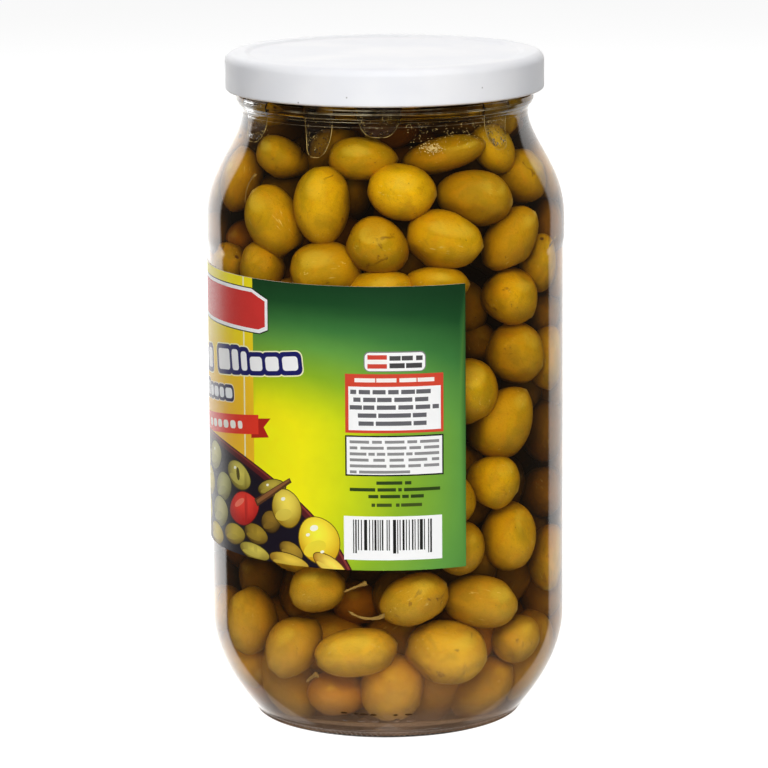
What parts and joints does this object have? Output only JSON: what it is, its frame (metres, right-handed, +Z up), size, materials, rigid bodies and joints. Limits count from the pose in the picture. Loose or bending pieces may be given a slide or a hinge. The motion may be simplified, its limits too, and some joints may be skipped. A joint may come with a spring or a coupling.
{
  "type": "glass jar of olives",
  "caption": "Tall clear glass jar filled with whole green olives in brine, shut with a white twist-off lid and wrapped in a printed paper label.",
  "frame": {"origin": "centre of the base, on the surface that the jar stands on", "axes": "+Z up along the jar's axis, -Y towards the front, +X to the right seen from the front; the label's middle is turned 77 degrees from the front towards -X"},
  "size_m": [0.1176, 0.1176, 0.2203],
  "materials": {
    "glass": "clear gloss",
    "lid_coating": "satin white lacquer",
    "label_paper": "coated print paper, semi-gloss",
    "brine": "cloudy amber-brown liquid",
    "olive": "wet olive skin, smooth with bruises"
  },
  "bodies": {
    "root": {"jar": "glass", "lid": "lid_coating", "label": "label_paper", "brine": "brine", "olives": "olive"}
  },
  "joints": []
}
